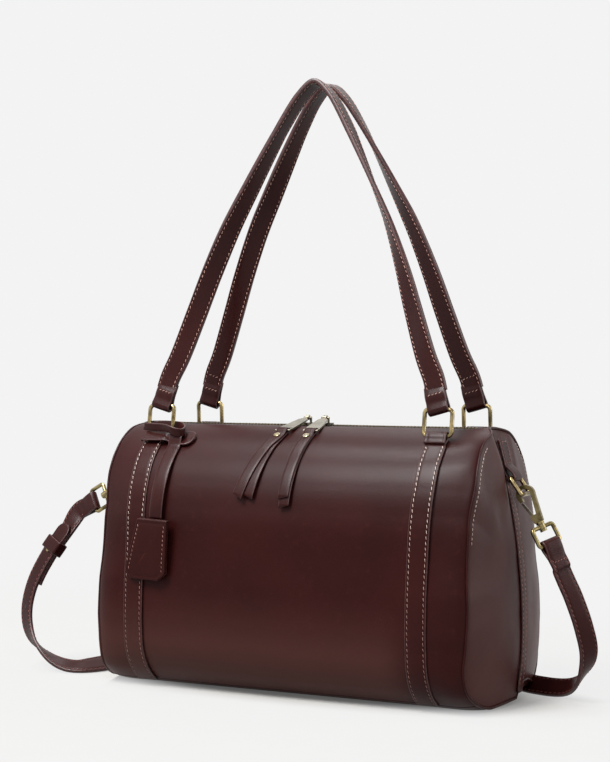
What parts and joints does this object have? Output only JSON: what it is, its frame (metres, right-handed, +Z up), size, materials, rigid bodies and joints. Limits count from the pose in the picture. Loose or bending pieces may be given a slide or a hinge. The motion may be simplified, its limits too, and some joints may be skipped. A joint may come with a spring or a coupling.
{
  "type": "barrel bag",
  "caption": "Barrel-shaped zipped leather bag with handles on rings, a hanging tag and a shoulder strap on snap hooks.",
  "frame": {"origin": "middle of the base, on the surface the bag stands on", "axes": "+X along the bag to its right end as seen from the front, -Y to the front, +Z up"},
  "size_m": [0.4701, 0.2655, 0.4622],
  "materials": {
    "body_leather": "satin",
    "trim_leather": "satin",
    "brass": "antique satin",
    "gate": "dark antique",
    "slider": "dark antique",
    "pull_plate": "satin",
    "rivet": "satin",
    "zip_teeth": "antique",
    "tape": "woven",
    "lining": "woven",
    "board": "matte"
  },
  "bodies": {
    "bag": {"front_panel": "body_leather", "back_panel": "body_leather", "base_panel": "body_leather", "left_front_gusset": "body_leather", "left_rear_gusset": "body_leather", "right_front_gusset": "body_leather", "right_rear_gusset": "body_leather", "left_end_cover": "body_leather", "right_end_cover": "body_leather", "left_end_welt": "body_leather", "right_end_welt": "body_leather", "lining": "lining", "base_board": "board", "front_zip_tape": "tape", "rear_zip_tape": "tape", "front_zip_teeth": "zip_teeth", "rear_zip_teeth": "zip_teeth", "front_left_band": "trim_leather", "front_right_band": "trim_leather", "rear_left_band": "trim_leather", "rear_right_band": "trim_leather", "left_end_tab": "trim_leather", "right_end_tab": "trim_leather", "tag_loop": "trim_leather"},
    "front_left_ring": {"front_left_ring": "brass"},
    "front_right_ring": {"front_right_ring": "brass"},
    "rear_left_ring": {"rear_left_ring": "brass"},
    "rear_right_ring": {"rear_right_ring": "brass"},
    "front_handle": {"front_handle": "trim_leather"},
    "rear_handle": {"rear_handle": "trim_leather"},
    "left_slider": {"left_slider": "slider"},
    "right_slider": {"right_slider": "slider"},
    "left_end_ring": {"left_end_ring": "brass"},
    "right_end_ring": {"right_end_ring": "brass"},
    "strap_keeper": {"strap_keeper": "trim_leather"},
    "left_pull": {"left_pull_plate": "pull_plate"},
    "right_pull": {"right_pull_plate": "pull_plate"},
    "left_pull_leather": {"left_pull_leather": "trim_leather", "left_pull_rivet": "rivet"},
    "right_pull_leather": {"right_pull_leather": "trim_leather", "right_pull_rivet": "rivet"},
    "hanging_tag": {"tag_strap": "trim_leather", "hanging_tag": "trim_leather"},
    "shoulder_strap": {"shoulder_strap": "trim_leather", "hook_strap": "trim_leather", "strap_stud": "rivet", "left_swivel_ring": "brass", "right_swivel_ring": "brass"},
    "left_hook": {"left_snap_hook": "brass"},
    "right_hook": {"right_snap_hook": "brass"},
    "left_gate": {"left_hook_gate": "gate"},
    "right_gate": {"right_hook_gate": "gate"}
  },
  "joints": [
    {"name": "front_left_ring_swing", "type": "hinge", "parent": "bag", "child": "front_left_ring", "pos_m": [-0.116, -0.0384, 0.19427], "axis": [1, 0, 0], "range_deg": [0, 70]},
    {"name": "front_right_ring_swing", "type": "hinge", "parent": "bag", "child": "front_right_ring", "pos_m": [0.116, -0.0384, 0.19427], "axis": [1, 0, 0], "range_deg": [0, 70]},
    {"name": "rear_left_ring_swing", "type": "hinge", "parent": "bag", "child": "rear_left_ring", "pos_m": [-0.116, 0.0384, 0.19427], "axis": [-1, 0, 0], "range_deg": [0, 60]},
    {"name": "rear_right_ring_swing", "type": "hinge", "parent": "bag", "child": "rear_right_ring", "pos_m": [0.116, 0.0384, 0.19427], "axis": [-1, 0, 0], "range_deg": [0, 60]},
    {"name": "front_handle_swing", "type": "hinge", "parent": "front_left_ring", "child": "front_handle", "pos_m": [-0.116, -0.03535, 0.21333], "axis": [1, 0, 0], "range_deg": [0, 45]},
    {"name": "rear_handle_swing", "type": "hinge", "parent": "rear_left_ring", "child": "rear_handle", "pos_m": [-0.116, 0.03746, 0.21355], "axis": [-1, 0, 0], "range_deg": [0, 50]},
    {"name": "left_slider_run", "type": "slide", "parent": "bag", "child": "left_slider", "axis": [-1, 0, 0], "range_m": [0, 0.082], "deforming": ["front_zip_teeth", "rear_zip_teeth", "front_zip_tape", "rear_zip_tape", "left_pull_leather"]},
    {"name": "right_slider_run", "type": "slide", "parent": "bag", "child": "right_slider", "axis": [1, 0, 0], "range_m": [0, 0.082], "deforming": ["front_zip_teeth", "rear_zip_teeth", "front_zip_tape", "rear_zip_tape", "right_pull_leather"]},
    {"name": "left_pull_swing", "type": "hinge", "parent": "left_slider", "child": "left_pull", "pos_m": [-0.0075, 0, 0.2042], "axis": [-1, 0, 0], "range_deg": [0, 150]},
    {"name": "left_leather_swing", "type": "hinge", "parent": "left_pull", "child": "left_pull_leather", "pos_m": [-0.01167, -0.03296, 0.19586], "axis": [-1, 0, 0], "range_deg": [0, 60]},
    {"name": "right_pull_swing", "type": "hinge", "parent": "right_slider", "child": "right_pull", "pos_m": [0.0075, 0, 0.2042], "axis": [-1, 0, 0], "range_deg": [0, 150]},
    {"name": "right_leather_swing", "type": "hinge", "parent": "right_pull", "child": "right_pull_leather", "pos_m": [0.01167, -0.03296, 0.19586], "axis": [-1, 0, 0], "range_deg": [0, 60]},
    {"name": "tag_swing", "type": "hinge", "parent": "bag", "child": "hanging_tag", "pos_m": [-0.096, -0.04557, 0.19029], "axis": [-1, 0, 0], "range_deg": [0, 45]},
    {"name": "left_end_ring_swing", "type": "hinge", "parent": "bag", "child": "left_end_ring", "pos_m": [-0.16007, 0, 0.1635], "axis": [0, 1, 0], "range_deg": [-3, 3]},
    {"name": "right_end_ring_swing", "type": "hinge", "parent": "bag", "child": "right_end_ring", "pos_m": [0.16007, 0, 0.1635], "axis": [0, 1, 0], "range_deg": [-3, 3]},
    {"name": "strap_lift", "type": "hinge", "parent": "bag", "child": "shoulder_strap", "pos_m": [0, 0, 0.15207], "axis": [1, 0, 0], "range_deg": [0, 20]},
    {"name": "left_hook_swivel", "type": "hinge", "parent": "shoulder_strap", "child": "left_hook", "pos_m": [-0.19218, 0, 0.13923], "axis": [-0.866, 0, -0.5], "range_deg": [-20, 20]},
    {"name": "right_hook_swivel", "type": "hinge", "parent": "shoulder_strap", "child": "right_hook", "pos_m": [0.18095, 0, 0.12853], "axis": [0.4695, 0, -0.8829], "range_deg": [-20, 20]},
    {"name": "left_gate_swing", "type": "hinge", "parent": "left_hook", "child": "left_gate", "pos_m": [-0.18385, 0, 0.14144], "axis": [0, -1, 0], "range_deg": [0, 22], "stiffness_Nm_per_rad": 0.01, "springref_deg": -11.46},
    {"name": "right_gate_swing", "type": "hinge", "parent": "right_hook", "child": "right_gate", "pos_m": [0.17506, 0, 0.13482], "axis": [0, 1, 0], "range_deg": [0, 22], "stiffness_Nm_per_rad": 0.01, "springref_deg": -11.46},
    {"name": "keeper_slide", "type": "slide", "parent": "shoulder_strap", "child": "strap_keeper", "axis": [-0.4466, -0.321, -0.8352], "range_m": [-0.003, 0.003]}
  ],
  "couplings": [
    {"joint": "front_right_ring_swing", "follows": "front_left_ring_swing", "ratio": 1},
    {"joint": "rear_right_ring_swing", "follows": "rear_left_ring_swing", "ratio": 1}
  ]
}
